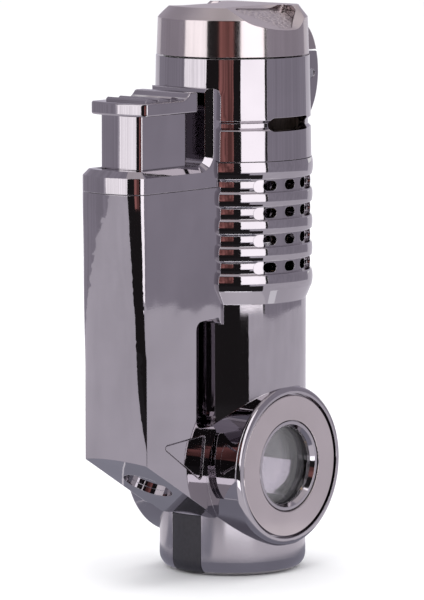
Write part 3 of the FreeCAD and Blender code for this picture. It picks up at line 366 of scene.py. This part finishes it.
def only_reflected(piece):
    """Leaves a piece to glossy rays only."""
    piece.visible_camera = False
    piece.visible_diffuse = False
    piece.visible_shadow = False
    piece.visible_transmission = False


def grid_quads(rows, columns):
    """Corners of the quads between the points of a grid that is stored row by row."""
    corners = [row * columns + column for row in range(rows - 1) for column in range(columns - 1)]
    return [(corner, corner + 1, corner + columns + 1, corner + columns) for corner in corners]


def make_card(name, start, stop, distance, lows, high, dark, light):
    columns = max(2, round((stop - start) / CARD_STEP)) + 1
    fast, slow = CARD_WOBBLE_PACE
    vertices = []
    for row in range(CARD_ROWS):
        rise = (row / (CARD_ROWS - 1)) ** 2
        wander = CARD_WOBBLE * (math.sin(fast * row + start) + math.sin(slow * row + stop)) / 2
        for column in range(columns):
            part = column / (columns - 1)
            low = lows[0] + (lows[1] - lows[0]) * part
            angle = TOWARDS_CAMERA + math.radians(start + (stop - start) * part + wander)
            vertices.append((distance * math.cos(angle), distance * math.sin(angle),
                             low + (high - low) * rise))
    only_reflected(stage_piece(name, vertices, grid_quads(CARD_ROWS, columns),
                               glow(name, dark, light, CARD_STREAK)))


def make_ring(name, start, stop, inner, outer, height, colour):
    vertices = []
    for column in range(RING_COLUMNS + 1):
        angle = TOWARDS_CAMERA + math.radians(start + (stop - start) * column / RING_COLUMNS)
        for radius in (inner, outer):
            vertices.append((radius * math.cos(angle), radius * math.sin(angle), height))
    faces = [(2 * column, 2 * column + 1, 2 * column + 3, 2 * column + 2)
             for column in range(RING_COLUMNS)]
    material = glow(name, shade(colour, 1 - RING_MOTTLE), shade(colour, 1 + RING_MOTTLE),
                    RING_STREAK)
    only_reflected(stage_piece(name, vertices, faces, material))


FLOOR_REACH = 12            # metres from the middle to each side


def make_floor():
    shader = Shader("floor_paper", Specular_IOR_Level=0.2)
    shader.colour(shader.tones(shader.noise(size=40 * MM, detail=4),
                               (0.3, (0.91, 0.91, 0.925)), (0.7, (0.93, 0.93, 0.94))))
    shader.roughness(shader.spread(shader.noise(size=2 * MM, detail=4), low=0.6, high=0.75))
    corners = [(-FLOOR_REACH, -FLOOR_REACH, 0), (FLOOR_REACH, -FLOOR_REACH, 0),
               (FLOOR_REACH, FLOOR_REACH, 0), (-FLOOR_REACH, FLOOR_REACH, 0)]
    stage_piece("floor", corners, [(0, 1, 2, 3)], shader.material)


SURROUND_STRENGTH = 1.12
LAMP_PLACE = (0.05, 0.05, 0.95)
LAMP_SIZE = 0.9
LAMP_ENERGY = 3.5


def make_lights():
    """An even white surround and one wide lamp overhead, for the soft shadow."""
    world = bpy.data.worlds.new("studio")
    world.use_nodes = True
    background = world.node_tree.nodes["Background"]
    background.inputs["Color"].default_value = (1, 1, 1, 1)
    background.inputs["Strength"].default_value = SURROUND_STRENGTH
    scene.world = world
    data = bpy.data.lights.new("overhead", "AREA")
    data.shape = "DISK"
    data.size = LAMP_SIZE
    data.energy = LAMP_ENERGY
    lamp = bpy.data.objects.new("overhead", data)
    lamp.location = LAMP_PLACE
    lamp.rotation_euler = (-lamp.location).to_track_quat("-Z", "Y").to_euler()
    scene.collection.objects.link(lamp)
    scene.view_settings.view_transform = "Standard"


# ---------------------------------------------------------------- grip fields on the cap

# Lengths in this section are in millimetres. The grip lies in the leaf-shaped sunk field of a
# thumb scoop. The leaf's own coordinates run across the scoop and up its sloping floor, and
# reach 0 where that floor meets the cap's top.
LEAF_CORNERS = ((-6.3, -0.3), (-1.4, -7.3), (0.9, -7.2), (4.4, -4.2), (4.9, -1.5))
LEAF_ROUND = 0.8            # radius at each corner
LEAF_ARC_STEPS = 6
LEAF_EDGE_Y = 4.3           # where the thumb scoop's floor starts at the cap's top
LEAF_FALL = math.radians(25.75)
LEAF_SINK = 0.22            # depth of the sunk field
LEAF_LIFT = 0.01            # gap under the grip's plate
GRIP_SIDE_GAP = 0.05
GRIP_END_GAP = 0.04
GRIP_ROW_STEP = 0.08
GRIP_COLUMNS = 110
GRIP_RIM_THICKNESS = 0.03
GRIP_THICKNESS = 0.05       # under the pebbles
PEBBLE_LENGTH = 0.85
PEBBLE_WIDTH = 0.5
PEBBLE_HEIGHT = 0.10
PEBBLE_STEEPNESS = 2.2      # how fast a pebble rises from its groove to its flat top


def rounded_outline(corners, radius):
    """Points of a convex outline with an arc at each corner."""
    points = []
    count = len(corners)
    for index, corner in enumerate(corners):
        here = Vector(corner)
        back = (Vector(corners[index - 1]) - here).normalized()
        on = (Vector(corners[(index + 1) % count]) - here).normalized()
        half = back.angle(on) / 2
        reach = radius / math.tan(half)
        centre = here + (back + on).normalized() * (radius / math.sin(half))
        first = here + back * reach - centre
        last = here + on * reach - centre
        for step in range(LEAF_ARC_STEPS + 1):
            arm = first.slerp(last, step / LEAF_ARC_STEPS)
            points.append(centre + arm.normalized() * radius)
    return points


def span_at(points, level):
    """Lowest and highest first coordinate of an outline at one second coordinate."""
    crossings = []
    for start, end in zip(points, points[1:] + points[:1]):
        low, high = sorted((start, end), key=lambda point: point.y)
        if low.y <= level <= high.y and high.y > low.y:
            part = (level - low.y) / (high.y - low.y)
            crossings.append(low.x + (high.x - low.x) * part)
    return min(crossings), max(crossings)


def pebble_height(across, up):
    """Low flat pebbles, longer than they are wide, with grooves between them."""
    spot = Vector((across / PEBBLE_LENGTH, up / PEBBLE_WIDTH, 0))
    nearest, second = noise.voronoi(spot)[0][:2]
    return PEBBLE_HEIGHT * min(1, PEBBLE_STEEPNESS * (second - nearest))


def leaf_point(across, up, height, side):
    """From the leaf's own coordinates to the frame; side is -1 front, 1 rear."""
    fall = Matrix.Rotation(LEAF_FALL, 3, "X")
    local = fall @ Vector((across, up, LEAF_LIFT - LEAF_SINK + height))
    cap_top = cad_high.z / MM
    return Vector((local.x, side * (LEAF_EDGE_Y - local.y), cap_top + local.z)) * MM


def leaf_grid():
    """Points of the grip's plate in the leaf, as rows of (across, up)."""
    outline = rounded_outline(LEAF_CORNERS, LEAF_ROUND - GRIP_SIDE_GAP)
    lowest = min(point.y for point in outline) + GRIP_END_GAP
    highest = max(point.y for point in outline) - GRIP_END_GAP
    rows = round((highest - lowest) / GRIP_ROW_STEP) + 1
    grid = []
    for row in range(rows):
        up = lowest + (highest - lowest) * row / (rows - 1)
        left, right = span_at(outline, up)
        left += GRIP_SIDE_GAP
        right -= GRIP_SIDE_GAP
        grid.append([(left + (right - left) * column / (GRIP_COLUMNS - 1), up)
                     for column in range(GRIP_COLUMNS)])
    return grid


def rim_points(rows, columns):
    """Numbers of the points round the edge of a grid, in order."""
    rim = list(range(columns))
    rim += [row * columns + columns - 1 for row in range(1, rows)]
    rim += [(rows - 1) * columns + column for column in range(columns - 2, -1, -1)]
    rim += [row * columns for row in range(rows - 2, 0, -1)]
    return rim


def make_grip(name, side):
    """A thin plate with the pebbled relief, in the sunk leaf of one thumb scoop."""
    grid = leaf_grid()
    rows, columns = len(grid), GRIP_COLUMNS
    underside = [leaf_point(across, up, 0, side) for line in grid for across, up in line]
    upper = []
    for row, line in enumerate(grid):
        for column, (across, up) in enumerate(line):
            if 0 < row < rows - 1 and 0 < column < columns - 1:
                height = GRIP_THICKNESS + pebble_height(across, up)
            else:
                height = GRIP_RIM_THICKNESS
            upper.append(leaf_point(across, up, height, side))
    top = len(underside)
    faces = []
    for quad in grid_quads(rows, columns):
        faces.append([top + index for index in quad])
        faces.append(list(reversed(quad)))
    rim = rim_points(rows, columns)
    for here, after in zip(rim, rim[1:] + rim[:1]):
        faces.append([here, after, top + after, top + here])
    if side > 0:
        faces = [face[::-1] for face in faces]
    mesh = bpy.data.meshes.new(name)
    mesh.from_pydata(underside + upper, [], faces)
    mesh.shade_smooth()
    mesh.materials.append(MATERIALS["satin_chrome"])
    grip = bpy.data.objects.new(name, mesh)
    scene.collection.objects.link(grip)
    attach(grip, "cap")


# ---------------------------------------------------------------- the scene

make_camera()
dress_cad_nodes()
for card in CARDS:
    make_card(*card)
for ring in RINGS:
    make_ring(*ring)
make_floor()
make_lights()
make_grip("cap_grip_front", -1)
make_grip("cap_grip_rear", 1)
